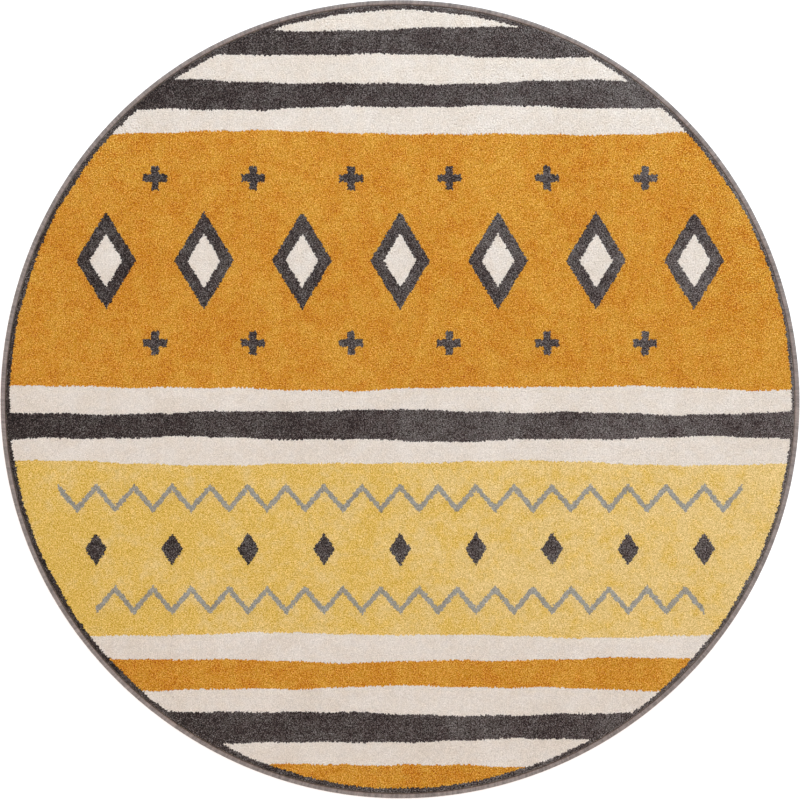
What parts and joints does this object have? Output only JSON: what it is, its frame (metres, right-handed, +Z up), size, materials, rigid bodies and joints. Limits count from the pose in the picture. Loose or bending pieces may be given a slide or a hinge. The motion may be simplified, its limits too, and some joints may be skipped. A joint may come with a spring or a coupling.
{
  "type": "striped rug",
  "caption": "Round woven pile rug in straight bands of cream, charcoal, ochre and yellow, with a charcoal border and a wound grey yarn binding, lying flat.",
  "frame": {"origin": "on the floor, under the middle of the rug's extent", "axes": "+Z up out of the pile; the stripes run along X, and +Y is towards the edge that is at the top when the rug is seen from above"},
  "size_m": [1.5998, 1.5982, 0.012],
  "materials": {
    "pile_ochre": "matt cut pile",
    "pile_yellow": "matt cut pile",
    "pile_cream": "matt cut pile",
    "pile_charcoal": "matt cut pile",
    "pile_grey": "matt cut pile",
    "woven_back": "matt ribbed weave",
    "binding_yarn": "soft wound yarn"
  },
  "bodies": {
    "root": {"pile_carpet": "pile_ochre", "edge_binding": "binding_yarn"}
  },
  "joints": []
}
